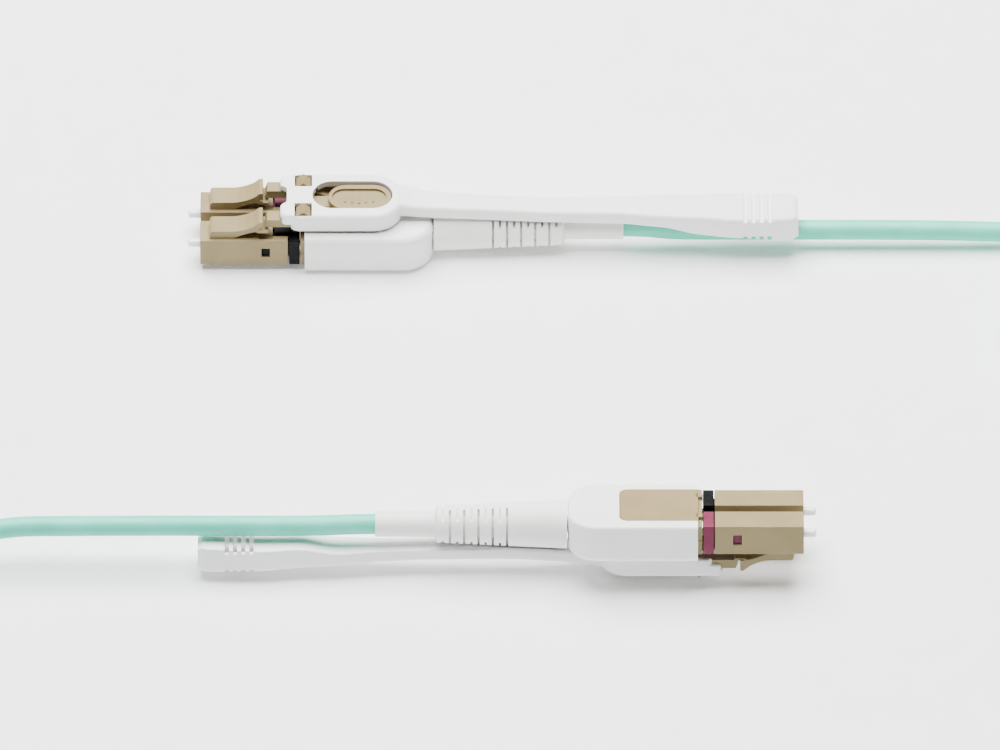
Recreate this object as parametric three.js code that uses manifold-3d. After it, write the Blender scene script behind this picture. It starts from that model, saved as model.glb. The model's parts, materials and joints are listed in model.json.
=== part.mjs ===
// A duplex fibre optic patch cord: two LC uniboot connectors with push-pull tabs on one round cable.
// Units are millimetres, +Z is up and the floor is z = 0. Connector A points along -X with its latches
// up; connector B points along +X with its latches down, and leans a little on the edge of its tab.
//
// Each connector is modelled in its own frame: x runs forward to the ferrule tips, z points to the
// latch side, and the origin lies on the plane of the two ferrules.
import * as THREE from "three";
import { mergeVertices } from "three/addons/utils/BufferGeometryUtils.js";
import Module from "manifold-3d";

const wasm = await Module();
wasm.setup();

// Driving dimensions
const PITCH = 6.25; // between the two ferrules
const HOUSING_SIDE = 4.5; // LC housing, square
const HOUSING = { rear: 30.4, front: 43.0, cavity: 3.3, cavityEnd: 39.5, bore: 1.9 };
const CORE = { rear: 28.75, ringFront: 30.25, front: 35.6, side: 2.7, bore: 2.0, boreRear: 31.8 };
const FERRULE = { diameter: 1.25, rear: 39.0, tip: 44.8, chamfer: 0.25 };
const FLANGE = { rear: 37.3, front: 38.8, diameter: 2.4, stemRear: 33.2, stemDiameter: 0.8 };
const SPRING = { rear: 32.0, front: 36.0, outer: 1.6, inner: 1.2 };
const LATCH_WIDTH = 3.3;
const LATCH_BLOCK = { rear: 38.3, front: 41.6, top: 3.55 };
const TONGUE = { rear: 32.9, bottom: 3.25, top: 3.55 };
const BODY = { rear: 11.6, front: 28.0, half: 5.4, bottom: -1.9, top: 2.25, collarFront: 28.6 };
const SHELL = { rear: 9.6, front: 28.0, half: 6.4, bottom: -2.75, top: 3.2, corner: 4.3, edge: 0.8 };
const PANEL = { rear: 16.9, half: 4.55, corner: 1.2 };
const SEAM = 0.15; // between fixed pieces that touch
const PIVOT = { x: 18.2, z: 3.6 };
// The front of each trigger arm leans back above `noseTop`, so the latch tip clears it as it swings down.
const TRIGGER = {
  front: 33.7, armWidth: 2.0, armTop: 5.18, armBottom: 3.85, noseTop: 4.2, lean: 0.3, edge: 0.1,
};
const PEG = { rear: 27.2, front: 29.2, width: 2.1, eaves: 5.85, apex: 6.75 };
const PAD = { rear: 15.6, front: 24.6, half: 2.6, bottom: 4.9, top: 6.0 };
const TAB = { rear: 14.0, front: 31.5, half: 4.8, bottom: 3.5, top: 6.42, edge: 0.5 };
const TAB_OPENING = { rear: 15.4, front: 26.9, half: 2.9 };
const TAB_WINDOW = { rear: 26.95, front: 29.45, width: 2.6, plateBottom: 6.0 };
const GRIP = { first: -34.9, pitch: 1.16, count: 4, width: 0.55, depth: 0.45 };
const BOOT_AXIS_Z = 0.3;
const BOOT = { front: 9.3, rear: -9.0, frontRadius: 3.5, rearRadius: 2.65, bore: 1.5 };
const SLEEVE = { rear: -17.7, radius: 1.83 };
const SLOT = { first: 1.0, pitch: 1.01, count: 10, width: 0.35, floorRadius: 1.95 };
const CABLE_DIAMETER = 2.9;
const CABLE_GAP = 0.3;

// Where the connectors lie
const ROW_A = { y: 33.9, z: 3.2 };
const ROW_B = { y: -33.52, z: 7.52 };
const ROLL_B = THREE.MathUtils.degToRad(13);

// The coil that holds the spare cable
const COIL = { x: 93.4, y: 14.7, radius: 16.3, columns: 3, layers: 2, bottom: 0.6 };
const TIE = { angle: 220, width: 4, thickness: 0.35, gap: 0.25 };

// Colours and finishes
const finish = (color, roughness, metalness = 0) => ({ color, roughness, metalness });
const WHITE = finish("#ecebea", 0.42);
const BEIGE = finish("#d3c9b0", 0.45);
const BLACK = finish("#232527", 0.4);
const MAGENTA = finish("#b8507a", 0.4);
const CERAMIC = finish("#f1f0ec", 0.2);
const STEEL = finish("#b9bcc0", 0.3, 1);
const AQUA = finish("#8fd6c4", 0.5);
const STRAP = finish("#2b2d30", 0.8);

// Solids

function solidOf(geometry) {
  const bare = geometry.clone();
  bare.deleteAttribute("normal");
  bare.deleteAttribute("uv");
  const merged = mergeVertices(bare, 1e-4);
  const vertProperties = new Float32Array(merged.attributes.position.array);
  const triVerts = new Uint32Array(merged.index.array);
  return new wasm.Manifold(new wasm.Mesh({ numProp: 3, vertProperties, triVerts }));
}

function join(...solids) {
  return solids.reduce((whole, piece) => whole.add(piece));
}

function cut(solid, ...tools) {
  return tools.reduce((rest, tool) => rest.subtract(tool), solid);
}

function geometryOf(solid) {
  const { vertProperties, triVerts, numProp, numVert } = solid.getMesh();
  const positions = new Float32Array(numVert * 3);
  for (let i = 0; i < numVert; i++) {
    positions.set(vertProperties.subarray(i * numProp, i * numProp + 3), i * 3);
  }
  const geometry = new THREE.BufferGeometry();
  geometry.setAttribute("position", new THREE.BufferAttribute(positions, 3));
  geometry.setIndex(new THREE.BufferAttribute(new Uint32Array(triVerts), 1));
  geometry.computeVertexNormals();
  return geometry;
}

function part(name, solid, look) {
  const mesh = new THREE.Mesh(geometryOf(solid), new THREE.MeshStandardMaterial(look));
  mesh.name = name;
  return mesh;
}

function box(x0, x1, y0, y1, z0, z1) {
  const geometry = new THREE.BoxGeometry(x1 - x0, y1 - y0, z1 - z0);
  geometry.translate((x0 + x1) / 2, (y0 + y1) / 2, (z0 + z1) / 2);
  return solidOf(geometry);
}

function shapeOf(points) {
  return new THREE.Shape(points.map(([u, v]) => new THREE.Vector2(u, v)));
}

// A plan outline (x, y) raised from z0 to z1, its edges rounded by `edge`.
function plan(shape, z0, z1, edge = 0) {
  const geometry = new THREE.ExtrudeGeometry(shape, {
    depth: z1 - z0 - 2 * edge,
    bevelEnabled: edge > 0,
    bevelThickness: edge,
    bevelSize: edge,
    bevelOffset: -edge,
    bevelSegments: edge > 0.3 ? 2 : 1,
    curveSegments: 4,
  });
  geometry.translate(0, 0, z0 + edge);
  return solidOf(geometry);
}

// A side outline (x, z) given a width from y0 to y1.
function side(points, y0, y1) {
  const geometry = new THREE.ExtrudeGeometry(shapeOf(points), { depth: y1 - y0, bevelEnabled: false });
  geometry.rotateX(Math.PI / 2);
  geometry.translate(0, y1, 0);
  return solidOf(geometry);
}

// A cross-section (y, z) with cut corners, drawn out from x0 to x1.
function bar(x0, x1, y, half, chamfer) {
  const c = half - chamfer;
  const corners = [
    [c, half], [-c, half], [-half, c], [-half, -c],
    [-c, -half], [c, -half], [half, -c], [half, c],
  ];
  const geometry = new THREE.ExtrudeGeometry(shapeOf(corners), { depth: x1 - x0, bevelEnabled: false });
  geometry.rotateX(Math.PI / 2);
  geometry.rotateZ(Math.PI / 2);
  geometry.translate(x0, y, 0);
  return solidOf(geometry);
}

// A closed profile of (x, radius) points turned round an axis along x.
function turned(points, y, z, segments = 16) {
  const profile = points.map(([x, radius]) => new THREE.Vector2(radius, x));
  if (THREE.ShapeUtils.area(profile) < 0) profile.reverse();
  profile.push(profile[0].clone());
  const geometry = new THREE.LatheGeometry(profile, segments);
  geometry.rotateZ(-Math.PI / 2);
  geometry.translate(0, y, z);
  return solidOf(geometry);
}

function rod(x0, x1, radius, y = 0, z = 0, segments = 16) {
  const geometry = new THREE.CylinderGeometry(radius, radius, x1 - x0, segments);
  geometry.rotateZ(-Math.PI / 2);
  geometry.translate((x0 + x1) / 2, y, z);
  return solidOf(geometry);
}

function crossRod(y0, y1, radius, x, z, segments = 16) {
  const geometry = new THREE.CylinderGeometry(radius, radius, y1 - y0, segments);
  geometry.translate(x, (y0 + y1) / 2, z);
  return solidOf(geometry);
}

// A plan outline from rear to front whose two rear corners are round.
function roundedRear(rear, front, half, corner) {
  const shape = new THREE.Shape();
  shape.moveTo(front, -half);
  shape.lineTo(front, half);
  shape.lineTo(rear + corner, half);
  shape.absarc(rear + corner, half - corner, corner, Math.PI / 2, Math.PI, false);
  shape.lineTo(rear, -half + corner);
  shape.absarc(rear + corner, -half + corner, corner, Math.PI, Math.PI * 1.5, false);
  return shape;
}

function stadium(rear, front, half) {
  const shape = new THREE.Shape();
  shape.moveTo(rear + half, -half);
  shape.lineTo(front - half, -half);
  shape.absarc(front - half, 0, half, -Math.PI / 2, Math.PI / 2, false);
  shape.lineTo(rear + half, half);
  shape.absarc(rear + half, 0, half, Math.PI / 2, Math.PI * 1.5, false);
  return shape;
}

// A round section swept along a smooth curve through the points.
function tube(points, diameter, steps, sides = 8) {
  const section = new THREE.Shape();
  section.absarc(0, 0, diameter / 2, 0, Math.PI * 2, false);
  const curve = new THREE.CatmullRomCurve3(points.map((p) => new THREE.Vector3(...p)));
  const options = { extrudePath: curve, steps, curveSegments: sides / 2, bevelEnabled: false };
  return solidOf(new THREE.ExtrudeGeometry(section, options));
}

// LC channel pieces, on the centre line y

function housing(y) {
  const half = HOUSING_SIDE / 2;
  const cavity = HOUSING.cavity / 2;
  const latchHalf = LATCH_WIDTH / 2;
  const { rear, front, top } = LATCH_BLOCK;
  const shell = bar(HOUSING.rear, HOUSING.front, y, half, 0.25);
  const block = side([
    [rear, half - 0.1], [front, half - 0.1], [front, top - 0.5], [front - 0.5, top], [rear, top],
  ], y - latchHalf, y + latchHalf);
  return cut(
    join(shell, block),
    box(HOUSING.rear - 1, HOUSING.cavityEnd, y - cavity, y + cavity, -cavity, cavity),
    rod(HOUSING.cavityEnd - 1, HOUSING.front + 1, HOUSING.bore / 2, y),
    box(33.0, 34.2, y - 3, y + 3, -0.8, 0.8),
    box(HOUSING.rear - 1, 32.6, y - 1.1, y + 1.1, 1, half + 1),
    box(32.6, 34.6, y - 1.75, y + 1.75, 1.9, half + 1),
  );
}

function core(y) {
  const half = CORE.side / 2;
  return cut(
    join(
      bar(CORE.rear, CORE.ringFront, y, HOUSING_SIDE / 2, 0.25),
      box(CORE.ringFront - 0.1, CORE.front, y - half, y + half, -half, half),
      box(CORE.ringFront - 0.1, 32.35, y - 0.85, y + 0.85, 1, 2.2),
    ),
    rod(CORE.boreRear, CORE.front + 1, CORE.bore / 2, y),
    rod(CORE.rear - 1, CORE.boreRear + 1, 0.65, y),
  );
}

function ferrule(y) {
  const { diameter, rear, tip, chamfer } = FERRULE;
  const r = diameter / 2;
  return turned([[rear, 0], [rear, r], [tip - chamfer, r], [tip, r - chamfer], [tip, 0]], y, 0, 12);
}

function flange(y) {
  return join(
    rod(FLANGE.rear, FLANGE.front, FLANGE.diameter / 2, y, 0, 6),
    rod(FLANGE.stemRear, FLANGE.rear + 0.1, FLANGE.stemDiameter / 2, y, 0, 12),
  );
}

function spring(y) {
  const { rear, front, outer, inner } = SPRING;
  return cut(rod(rear, front, outer / 2, y), rod(rear - 1, front + 1, inner / 2, y));
}

// The arm rises backwards from the fixed block, and a tongue under its tip reaches below the trigger.
function latch(y) {
  const half = LATCH_WIDTH / 2;
  return side([
    [38.0, 3.6], [37.0, 3.76], [36.2, 4.03], [35.3, 4.48], [34.75, 4.88], [34.5, 5.2], [34.3, 5.25],
    [34.05, 5.2], [34.0, 4.5], [34.0, TONGUE.top], [TONGUE.rear, TONGUE.top], [TONGUE.rear, TONGUE.bottom],
    [34.6, TONGUE.bottom], [35.0, 3.5], [36.0, 3.3], [37.0, 2.9], [38.0, 2.55],
  ], y - half, y + half);
}

// The two loose fibres run from the crimp to the channels inside the body.
function fibre(y) {
  const start = Math.sign(y) * 0.6;
  return tube([
    [14.0, start, 0.3], [17.0, start * 1.2, 0.25], [20.5, y * 0.5, 0.1], [24.0, y * 0.93, 0], [27.0, y, 0],
    [31.6, y, 0],
  ], 0.9, 10, 6);
}

// Body and shell

function bodyOutline(halfWidth, rear) {
  return roundedRear(rear, BODY.front + 0.05, halfWidth, SHELL.corner - (SHELL.half - halfWidth));
}

function bodyHalf(isTop) {
  const outer = plan(bodyOutline(BODY.half, BODY.rear), BODY.bottom, BODY.top);
  const collar = box(BODY.front, BODY.collarFront, -BODY.half, BODY.half, -2.25, 2.25);
  const lug = side([
    [17.3, 2.1], [19.1, 2.1], [19.1, 3.9], [18.6, 4.45], [17.8, 4.45], [17.3, 3.9],
  ], -1.6, 1.6);
  const { rear, half, corner } = PANEL;
  const panelOutline = roundedRear(rear + SEAM, BODY.front + 0.05, half - SEAM, corner - SEAM);
  const panel = plan(panelOutline, SHELL.bottom, BODY.bottom + 0.1);
  const hooks = [-2.9, 2.9].map((y) => (
    box(BODY.front, BODY.front + 0.4, y - 0.6, y + 0.6, SHELL.bottom, -2.2)
  ));
  const whole = isTop ? join(outer, collar, lug) : join(outer, collar, panel, ...hooks);
  return cut(
    whole,
    box(12.4, 27.2, -4.6, 4.6, -1.4, 1.9),
    rod(BODY.rear - 1, 13, 1.5, 0, BOOT_AXIS_Z),
    rod(27, 29, 0.75, PITCH / 2),
    rod(27, 29, 0.75, -PITCH / 2),
    crossRod(-3, 3, 0.6, PIVOT.x, PIVOT.z),
    isTop ? box(0, 40, -10, 10, -10, SEAM / 2) : box(0, 40, -10, 10, -SEAM / 2, 10),
  );
}

function shell() {
  const outline = roundedRear(SHELL.rear, SHELL.front + 2, SHELL.half, SHELL.corner);
  const inner = roundedRear(SHELL.rear + 1.7, SHELL.front + 1, 5.7, 3.4);
  const opening = roundedRear(PANEL.rear, SHELL.front + 1, PANEL.half, PANEL.corner);
  return cut(
    plan(outline, SHELL.bottom, SHELL.top, SHELL.edge),
    box(SHELL.front, SHELL.front + 5, -10, 10, -10, 10),
    plan(inner, -2.2, 2.55),
    plan(opening, -4, -2),
    plan(opening, 2.4, 4),
    rod(SHELL.rear - 1, SHELL.rear + 3, 1.8, 0, BOOT_AXIS_Z),
  );
}

// Crimp, boot and cable entry

function crimpBody() {
  const profile = [[4.5, 0.95], [4.5, 1.2], [12.6, 1.2], [12.6, 1.5], [13.4, 1.5], [13.4, 0.95]];
  return turned(profile, 0, BOOT_AXIS_Z, 12);
}

function crimpRing() {
  return turned([[4.0, 1.7], [4.0, 2.3], [8.9, 2.3], [8.9, 1.7]], 0, BOOT_AXIS_Z, 12);
}

// Slots alternate between the two sides and the top and bottom, so the boot bends both ways.
function bootSlot(index) {
  const x = SLOT.first - index * SLOT.pitch;
  const ring = turned([
    [x - SLOT.width / 2, SLOT.floorRadius], [x - SLOT.width / 2, 4],
    [x + SLOT.width / 2, 4], [x + SLOT.width / 2, SLOT.floorRadius],
  ], 0, BOOT_AXIS_Z, 14);
  const bridge = index % 2 === 0 ? box(x - 1, x + 1, -0.8, 0.8, -5, 5) : box(x - 1, x + 1, -5, 5, -1.3, 1.9);
  return ring.subtract(bridge);
}

function boot() {
  const { front, rear, frontRadius, rearRadius, bore } = BOOT;
  const profile = [
    [SLEEVE.rear, bore], [SLEEVE.rear, SLEEVE.radius], [rear - 0.2, SLEEVE.radius], [rear, rearRadius],
    [front, frontRadius], [front, 2.65], [3.7, 2.65], [3.7, bore],
  ];
  const slots = Array.from({ length: SLOT.count }, (_, i) => bootSlot(i));
  return cut(turned(profile, 0, BOOT_AXIS_Z, 14), ...slots);
}

// Trigger: a thumb pad, a neck, a cross bar and two arms with gabled pegs, in one piece

function triggerArm(y) {
  const half = TRIGGER.armWidth / 2;
  const { front, armTop, armBottom, noseTop, lean, edge } = TRIGGER;
  const arm = side([
    [front, armBottom], [front, noseTop], [front - lean, armTop - edge], [front - lean - edge, armTop],
    [27.0, armTop], [24.5, 4.1], [PIVOT.x, 4.1], [PIVOT.x, 3.1], [25.0, 3.1], [28.0, armBottom],
  ].reverse(), y - half, y + half);
  const boss = crossRod(y - half, y + half, 1.0, PIVOT.x, PIVOT.z);
  const middle = (PEG.rear + PEG.front) / 2;
  const peg = side([
    [PEG.rear, armTop - 0.3], [PEG.front, armTop - 0.3], [PEG.front, PEG.eaves], [middle, PEG.apex],
    [PEG.rear, PEG.eaves],
  ], y - PEG.width / 2, y + PEG.width / 2);
  const ribInner = PITCH / 2 - half;
  const rib = y > 0
    ? box(19.4, 24.0, ribInner, PAD.half, 4.0, 5.0)
    : box(19.4, 24.0, -PAD.half, -ribInner, 4.0, 5.0);
  return join(arm, boss, peg, rib);
}

function trigger() {
  const pad = plan(stadium(PAD.rear, PAD.front, PAD.half), PAD.bottom, PAD.top, 0.2);
  const face = plan(stadium(PAD.rear + 0.7, PAD.front - 0.5, 1.75), PAD.top - 0.35, PAD.top + 1);
  const neck = box(24.0, 27.2, -1.13, 1.13, 4.5, 5.15);
  const crossBar = box(26.6, 28.2, -PITCH / 2, PITCH / 2, 4.0, 5.1);
  return cut(
    join(triggerArm(PITCH / 2), triggerArm(-PITCH / 2), pad, neck, crossBar),
    face,
    crossRod(-5, 5, 0.7, PIVOT.x, PIVOT.z),
  );
}

function leverPin() {
  return crossRod(-4.0, 4.0, 0.4, PIVOT.x, PIVOT.z);
}

// Pull tab: a hollow head over the trigger and a strap that runs back above the boot to the grip

function tabHead() {
  const outline = new THREE.Shape();
  const outer = TAB.half;
  outline.moveTo(TAB.rear, -2.2);
  outline.absarc(TAB.rear + 3.2, -outer + 3.2, 3.2, Math.PI * 1.12, Math.PI * 1.5, false);
  outline.lineTo(TAB.front - 1.6, -outer - 0.1);
  outline.absarc(TAB.front - 1.3, -outer + 1.3, 1.3, -Math.PI / 2, 0, false);
  outline.lineTo(TAB.front, -1.9);
  outline.lineTo(TAB.front - 0.9, -1.5);
  outline.lineTo(TAB.front - 0.9, 1.5);
  outline.lineTo(TAB.front, 1.9);
  outline.absarc(TAB.front - 1.3, outer - 1.3, 1.3, 0, Math.PI / 2, false);
  outline.lineTo(TAB.front - 1.6, outer + 0.1);
  outline.absarc(TAB.rear + 3.2, outer - 3.2, 3.2, Math.PI / 2, Math.PI * 0.88, false);
  outline.lineTo(TAB.rear, 2.2);
  return plan(outline, TAB.bottom, TAB.top, TAB.edge);
}

function tabWindow(y) {
  const { rear, front, width, plateBottom } = TAB_WINDOW;
  const inner = Math.sign(y) * 1.6;
  const outer = Math.sign(y) * 4.3;
  return join(
    box(rear, front, y - width / 2, y + width / 2, plateBottom - 1, TAB.top + 1),
    box(rear - 0.9, front + 0.8, Math.min(inner, outer), Math.max(inner, outer), 5, plateBottom),
  );
}

// The strap is the plan of its edges crossed with its side outline, which follows the top line given.
function strap(topLine) {
  const halfWidths = [
    [16, 2.2], [TAB.rear, 2.2], [9, 2.1], [0, 1.9], [-9, 2.0], [-17, 2.1], [-23, 2.65], [-28.6, 2.8],
    [-34, 3.25], [-41.6, 3.05], [-42.8, 2.6],
  ];
  const edges = [...halfWidths, ...halfWidths.map(([x, half]) => [x, -half]).reverse()];
  const underside = topLine.map(([x, top, thickness]) => [x, top - thickness]).reverse();
  const outline = [...topLine.map(([x, top]) => [x, top]), ...underside].reverse();
  const grooves = Array.from({ length: GRIP.count }, (_, i) => {
    const x = GRIP.first - i * GRIP.pitch;
    const line = topLine.findIndex(([station]) => station < x);
    const top = topLine[line][1];
    return join(
      box(x - GRIP.width, x, -5, 5, top - GRIP.depth, top + 2),
      box(x - GRIP.width, x, -5, -2.2, -5, top - 3.1),
      box(x - GRIP.width, x, 2.2, 5, -5, top - 3.1),
    );
  });
  return cut(plan(shapeOf(edges.reverse()), -5, 10).intersect(side(outline, -5, 5)), ...grooves);
}

// The cable lies nested in a groove under the grip of a tab that is pressed down on it.
function pullTab(topLine, cableZ) {
  const bootClearance = turned([
    [SLEEVE.rear - 3, 0], [SLEEVE.rear - 3, 2.2], [BOOT.rear - 1.2, 2.2],
    [BOOT.rear - 1, BOOT.rearRadius + 0.35],
    [BOOT.front + 3, BOOT.frontRadius + 0.45], [BOOT.front + 3, 0],
  ], 0, BOOT_AXIS_Z);
  return cut(
    join(tabHead(), strap(topLine)),
    box(TAB.rear + 1.2, TAB.front + 1, -4.3, 4.3, TAB.bottom - 1, 5.5),
    plan(stadium(TAB_OPENING.rear, TAB_OPENING.front, TAB_OPENING.half), 0, 10),
    tabWindow(PITCH / 2),
    tabWindow(-PITCH / 2),
    bootClearance,
    rod(-46, -22, CABLE_DIAMETER / 2 + CABLE_GAP, 0, cableZ, 12),
  );
}

// One connector, its pieces named with the suffix a or b

function connector(suffix, leftLook, rightLook, topLine, cableZ) {
  const group = new THREE.Group();
  const add = (name, solid, look) => group.add(part(name + "_" + suffix, solid, look));
  add("shell", shell(), WHITE);
  add("body_top", bodyHalf(true), BEIGE);
  add("body_bottom", bodyHalf(false), BEIGE);
  add("boot", boot(), WHITE);
  add("crimp_body", crimpBody(), STEEL);
  add("crimp_ring", crimpRing(), STEEL);
  add("trigger", trigger(), BEIGE);
  add("trigger_pin", leverPin(), STEEL);
  add("pull_tab", pullTab(topLine, cableZ), WHITE);
  for (const [hand, y, look] of [["left", PITCH / 2, leftLook], ["right", -PITCH / 2, rightLook]]) {
    add("lc_housing_" + hand, housing(y), BEIGE);
    add("latch_" + hand, latch(y), BEIGE);
    add("core_" + hand, core(y), look);
    add("ferrule_" + hand, ferrule(y), CERAMIC);
    add("flange_" + hand, flange(y), STEEL);
    add("spring_" + hand, spring(y), STEEL);
    add("fibre_" + hand, fibre(y), WHITE);
  }
  return group;
}

// Top line of each strap as (x, height, thickness): B's strap has sprung further from its cable.
const TOP_LINE_A = [
  [16, 6.3, 2.0], [TAB.rear, 6.3, 2.2], [12.9, 5.97, 1.9], [10, 5.65, 1.9], [0, 4.98, 1.95],
  [-8.6, 4.62, 1.9],
  [-17, 4.6, 2.0], [-23, 4.5, 2.1], [-28.6, 4.4, 3.3], [-34, 4.3, 3.5], [-42.2, 4.3, 4.0], [-42.8, 3.9, 3.3],
];
const TOP_LINE_B = [
  [16, 6.3, 2.0], [TAB.rear, 6.3, 2.2], [12.9, 5.97, 1.9], [10, 5.65, 1.9], [0, 5.27, 2.0], [-8.6, 5.3, 1.9],
  [-17, 5.6, 2.0], [-23, 5.9, 2.2], [-28.6, 6.2, 3.3], [-34, 6.45, 3.5], [-42.2, 6.65, 4.0],
  [-42.8, 6.3, 3.3],
];
// Height of the cable's axis under each strap, in the connector's frame.
const CABLE_Z_A = -0.3;
const CABLE_Z_B = 0.6;

// Cord

const FLOOR_Z = CABLE_DIAMETER / 2 + 0.03;

// From boot A to the coil, along +X.
const ROUTE_A = [
  [18.0, ROW_A.y, 3.5], [21, ROW_A.y, 3.4], [25, ROW_A.y, 2.98], [30, ROW_A.y, 2.9], [42, ROW_A.y, 2.9],
  [54, ROW_A.y, 2.87], [66, ROW_A.y, 2.7], [74, ROW_A.y, 2.4], [COIL.x - 11.2, ROW_A.y, 2.1],
];
const EXIT_X = COIL.x + COIL.radius + CABLE_DIAMETER;
// From the coil round the front to boot B, along +X again at the end.
const ROUTE_B = [
  [EXIT_X, COIL.y - 11.2, 4.9], [EXIT_X, -10, 4.1], [EXIT_X, -24, 2.6], [EXIT_X, -38, 1.7],
  [EXIT_X, -52, FLOOR_Z],
  [EXIT_X - 1.6, -65, FLOOR_Z], [EXIT_X - 8, -74.4, FLOOR_Z], [EXIT_X - 19, -78.7, FLOOR_Z],
  [EXIT_X - 34, -79.2, FLOOR_Z], [60, -79.2, FLOOR_Z], [40, -79.2, FLOOR_Z], [20, -79.2, FLOOR_Z],
  [0, -79.2, FLOOR_Z], [-20, -79.2, FLOOR_Z], [-40, -79.2, FLOOR_Z], [-57, -79.2, FLOOR_Z],
  [-69.4, -79.2, FLOOR_Z], [-75.1, -78.1, FLOOR_Z], [-80, -74.8, 1.5], [-83.3, -69.9, 1.6],
  [-84.4, -64.2, 1.9], [-84.4, -56.5, 2.7], [-84.4, -48.7, 3.8], [-83.3, -43, 4.6], [-80, -38.1, 5.3],
  [-75.1, -34.9, 6.1], [-69.4, -33.7, 6.6], [-60, -33.67, 6.88], [-50, -33.67, 6.94],
  [-38, -33.67, 6.94], [-30, -33.67, 6.94], [-25, -33.65, 7.01], [-21, -33.6, 7.16], [-18.0, -33.59, 7.22],
];

function coil() {
  const { radius, columns, layers, bottom } = COIL;
  const half = (columns * CABLE_DIAMETER) / 2 + 0.1;
  const top = bottom + layers * CABLE_DIAMETER + 0.1;
  const corner = 0.8;
  const profile = [
    [radius - half + corner, bottom], [radius + half - corner, bottom], [radius + half, bottom + corner],
    [radius + half, top - corner], [radius + half - corner, top], [radius - half + corner, top],
    [radius - half, top - corner], [radius - half, bottom + corner], [radius - half + corner, bottom],
  ];
  const geometry = new THREE.LatheGeometry(profile.map(([r, z]) => new THREE.Vector2(r, z)), 40);
  geometry.rotateX(Math.PI / 2);
  geometry.translate(COIL.x, COIL.y, 0);
  return solidOf(geometry);
}

// A band wrapped round the turns of the coil at one place.
function coilTie() {
  const { radius, columns, layers, bottom } = COIL;
  const half = (columns * CABLE_DIAMETER) / 2 + 0.1 + TIE.gap;
  const top = bottom + layers * CABLE_DIAMETER + 0.1 + TIE.gap;
  const t = TIE.thickness;
  const outer = new THREE.BoxGeometry(2 * (half + t), TIE.width, top + t);
  outer.translate(radius, 0, (top + t) / 2);
  const inner = new THREE.BoxGeometry(2 * half, TIE.width + 1, top - t);
  inner.translate(radius, 0, (top + t) / 2);
  for (const geometry of [outer, inner]) {
    geometry.rotateZ(THREE.MathUtils.degToRad(TIE.angle));
    geometry.translate(COIL.x, COIL.y, 0);
  }
  return cut(solidOf(outer), solidOf(inner));
}

const cord = new THREE.Group();
cord.add(part("cord_tube_a", tube(ROUTE_A, CABLE_DIAMETER, 16), AQUA));
cord.add(part("cord_coil", coil(), AQUA));
cord.add(part("cord_tube_b", tube(ROUTE_B, CABLE_DIAMETER, 64), AQUA));
cord.add(part("cord_tie", coilTie(), STRAP));

const connectorA = connector("a", BLACK, MAGENTA, TOP_LINE_A, CABLE_Z_A);
connectorA.rotation.z = Math.PI;
connectorA.position.set(0, ROW_A.y, ROW_A.z);

const connectorB = connector("b", MAGENTA, BLACK, TOP_LINE_B, CABLE_Z_B);
connectorB.rotation.x = Math.PI - ROLL_B;
connectorB.position.set(0, ROW_B.y, ROW_B.z);

const patchCord = new THREE.Group();
patchCord.add(connectorA, connectorB, cord);

export default patchCord;
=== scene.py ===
"""Looks of a duplex fibre optic patch cord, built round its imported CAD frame.

Each connector is made in its own frame in millimetres (x forward to the ferrule tips, z to the latch
side, origin on the plane of the ferrules) and then placed where the CAD has it. The cord and its wrap are
made in millimetres of the shared frame. The camera, the lights and the floor are in metres.
"""

import json
import math

import bmesh
import bpy
from mathutils import Matrix, Vector


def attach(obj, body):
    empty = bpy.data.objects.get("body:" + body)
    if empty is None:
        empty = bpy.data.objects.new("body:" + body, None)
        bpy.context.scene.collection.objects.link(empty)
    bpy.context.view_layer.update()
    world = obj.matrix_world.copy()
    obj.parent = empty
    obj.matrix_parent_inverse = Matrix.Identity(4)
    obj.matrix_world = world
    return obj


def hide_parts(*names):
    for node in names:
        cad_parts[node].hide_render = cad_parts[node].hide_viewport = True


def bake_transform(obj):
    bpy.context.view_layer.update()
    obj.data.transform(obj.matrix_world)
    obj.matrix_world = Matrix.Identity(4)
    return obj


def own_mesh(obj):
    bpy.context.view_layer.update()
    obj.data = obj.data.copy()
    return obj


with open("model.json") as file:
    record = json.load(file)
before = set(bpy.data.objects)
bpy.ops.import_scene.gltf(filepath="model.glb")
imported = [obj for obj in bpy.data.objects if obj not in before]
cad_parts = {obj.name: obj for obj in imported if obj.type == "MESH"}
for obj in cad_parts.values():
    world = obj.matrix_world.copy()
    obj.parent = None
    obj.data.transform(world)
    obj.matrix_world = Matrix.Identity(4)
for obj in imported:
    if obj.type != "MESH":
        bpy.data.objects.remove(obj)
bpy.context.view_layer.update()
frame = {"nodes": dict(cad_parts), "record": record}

MM = 0.001

# Connector dimensions, in millimetres in the connector's frame
PITCH = 6.25
CHANNELS = {"left": PITCH / 2, "right": -PITCH / 2}
HOUSING_REAR, HOUSING_FRONT, HOUSING_HALF, HOUSING_CORNER = 30.4, 43.0, 2.25, 0.18
PIVOT_X, PIVOT_Z = 18.2, 3.6
LATCH_HINGE_X, LATCH_HALF = 38.3, 1.65
SHELL_REAR, SHELL_FRONT, SHELL_HALF = 9.6, 28.0, 6.4
SHELL_BOTTOM, SHELL_TOP, SHELL_CORNER = -2.75, 3.2, 4.3
SHELL_EDGE_TOP, SHELL_EDGE_BOTTOM = 1.1, 0.6
PANEL_REAR, PANEL_HALF, PANEL_CORNER = 16.9, 4.55, 1.2
BODY_HALF, BODY_TOP, BODY_BOTTOM, BODY_SPLIT = 5.4, 2.25, -1.9, 0.04
COLLAR_FRONT, COLLAR_BOTTOM = 28.6, -2.25
BOOT_AXIS = 0.3
BOOT_FRONT, BOOT_REAR, SLEEVE_REAR = 9.5, -9.0, -17.7
BOOT_FRONT_RADIUS, BOOT_REAR_RADIUS, SLEEVE_RADIUS = 3.5, 2.65, 1.83
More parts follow.
